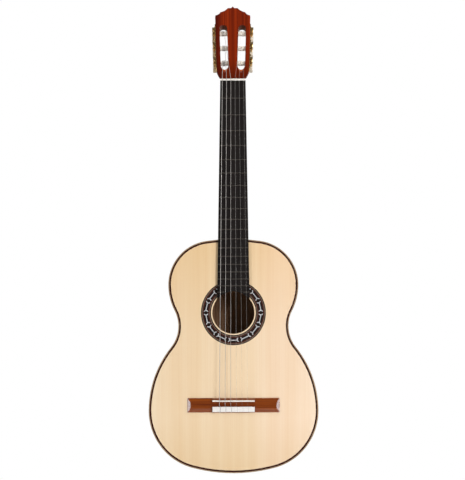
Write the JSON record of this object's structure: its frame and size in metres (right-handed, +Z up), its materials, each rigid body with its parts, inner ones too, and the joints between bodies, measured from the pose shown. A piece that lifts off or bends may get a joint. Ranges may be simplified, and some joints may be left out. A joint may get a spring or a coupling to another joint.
{
  "type": "classical guitar",
  "caption": "Six-string classical guitar with a hollow waisted body, round soundhole, slotted head and worm-geared tuning machines turned by side buttons.",
  "frame": {"origin": "centre of the neck at the front edge of the nut, in the plane of the soundboard, where a yoke hanger holds the guitar below its head", "axes": "+Z up along the strings towards the head, -Y out of the soundboard towards the player's audience, +X towards the treble side"},
  "size_m": [0.3438, 0.1156, 0.9706],
  "materials": {
    "spruce": "satin",
    "rosewood": "gloss",
    "binding": "gloss",
    "black_line": "satin",
    "rosette": "satin",
    "shell": "gloss",
    "inner_wood": "matt",
    "cedar": "satin",
    "veneer": "gloss",
    "ebony": "satin",
    "fret_metal": "polished",
    "bone": "satin",
    "white_cap": "gloss",
    "gold": "polished",
    "nylon": "gloss",
    "wound": "polished",
    "ivory": "gloss",
    "pearl": "gloss"
  },
  "bodies": {
    "guitar": {"soundboard": "spruce", "rosette": "rosette", "rosette_links": "shell", "back_plate": "rosewood", "rib_left": "rosewood", "rib_right": "rosewood", "top_binding": "binding", "back_binding": "binding", "top_purfling": "black_line", "top_linings": "inner_wood", "back_linings": "inner_wood", "fan_braces": "inner_wood", "harmonic_bars": "inner_wood", "soundhole_patch": "inner_wood", "back_braces": "inner_wood", "back_strip": "inner_wood", "tail_block": "inner_wood", "end_graft": "binding", "neck": "cedar", "headstock": "cedar", "head_veneer": "veneer", "heel_cap": "binding", "fretboard": "ebony", "frets": "fret_metal", "nut": "bone", "bridge": "rosewood", "saddle": "bone", "tie_block_cap": "white_cap", "machine_plates": "gold", "plate_screws": "gold", "string_1": "nylon", "string_2": "nylon", "string_3": "nylon", "string_4": "wound", "string_5": "wound", "string_6": "wound"},
    "roller_1_unit": {"roller_1": "ivory", "gear_1": "gold"},
    "worm_1_unit": {"worm_1": "gold", "button_1": "pearl"},
    "roller_2_unit": {"roller_2": "ivory", "gear_2": "gold"},
    "worm_2_unit": {"worm_2": "gold", "button_2": "pearl"},
    "roller_3_unit": {"roller_3": "ivory", "gear_3": "gold"},
    "worm_3_unit": {"worm_3": "gold", "button_3": "pearl"},
    "roller_4_unit": {"roller_4": "ivory", "gear_4": "gold"},
    "worm_4_unit": {"worm_4": "gold", "button_4": "pearl"},
    "roller_5_unit": {"roller_5": "ivory", "gear_5": "gold"},
    "worm_5_unit": {"worm_5": "gold", "button_5": "pearl"},
    "roller_6_unit": {"roller_6": "ivory", "gear_6": "gold"},
    "worm_6_unit": {"worm_6": "gold", "button_6": "pearl"}
  },
  "joints": [
    {"name": "button_1_turn", "type": "hinge", "parent": "guitar", "child": "worm_1_unit", "pos_m": [0.03838, 0.02151, 0.05104], "axis": [0, -0.9659, 0.2588], "continuous": true},
    {"name": "roller_1_turn", "type": "hinge", "parent": "guitar", "child": "roller_1_unit", "pos_m": [0.0341, 0.01921, 0.04247], "axis": [0.9995, -0.0081, -0.0301], "continuous": true},
    {"name": "button_2_turn", "type": "hinge", "parent": "guitar", "child": "worm_2_unit", "pos_m": [0.03948, 0.03069, 0.08531], "axis": [0, -0.9659, 0.2588], "continuous": true},
    {"name": "roller_2_turn", "type": "hinge", "parent": "guitar", "child": "roller_2_unit", "pos_m": [0.03521, 0.0284, 0.07674], "axis": [0.9995, -0.0081, -0.0301], "continuous": true},
    {"name": "button_3_turn", "type": "hinge", "parent": "guitar", "child": "worm_3_unit", "pos_m": [0.04059, 0.03988, 0.11958], "axis": [0, -0.9659, 0.2588], "continuous": true},
    {"name": "roller_3_turn", "type": "hinge", "parent": "guitar", "child": "roller_3_unit", "pos_m": [0.03631, 0.03758, 0.11102], "axis": [0.9995, -0.0081, -0.0301], "continuous": true},
    {"name": "button_4_turn", "type": "hinge", "parent": "guitar", "child": "worm_4_unit", "pos_m": [-0.04059, 0.03988, 0.11958], "axis": [0, -0.9659, 0.2588], "continuous": true},
    {"name": "roller_4_turn", "type": "hinge", "parent": "guitar", "child": "roller_4_unit", "pos_m": [-0.03631, 0.03758, 0.11102], "axis": [-0.9995, -0.0081, -0.0301], "continuous": true},
    {"name": "button_5_turn", "type": "hinge", "parent": "guitar", "child": "worm_5_unit", "pos_m": [-0.03948, 0.03069, 0.08531], "axis": [0, -0.9659, 0.2588], "continuous": true},
    {"name": "roller_5_turn", "type": "hinge", "parent": "guitar", "child": "roller_5_unit", "pos_m": [-0.03521, 0.0284, 0.07674], "axis": [-0.9995, -0.0081, -0.0301], "continuous": true},
    {"name": "button_6_turn", "type": "hinge", "parent": "guitar", "child": "worm_6_unit", "pos_m": [-0.03838, 0.02151, 0.05104], "axis": [0, -0.9659, 0.2588], "continuous": true},
    {"name": "roller_6_turn", "type": "hinge", "parent": "guitar", "child": "roller_6_unit", "pos_m": [-0.0341, 0.01921, 0.04247], "axis": [-0.9995, -0.0081, -0.0301], "continuous": true}
  ],
  "couplings": [
    {"joint": "roller_1_turn", "follows": "button_1_turn", "ratio": -0.0625},
    {"joint": "roller_2_turn", "follows": "button_2_turn", "ratio": -0.0625},
    {"joint": "roller_3_turn", "follows": "button_3_turn", "ratio": -0.0625},
    {"joint": "roller_4_turn", "follows": "button_4_turn", "ratio": -0.0625},
    {"joint": "roller_5_turn", "follows": "button_5_turn", "ratio": -0.0625},
    {"joint": "roller_6_turn", "follows": "button_6_turn", "ratio": -0.0625}
  ]
}
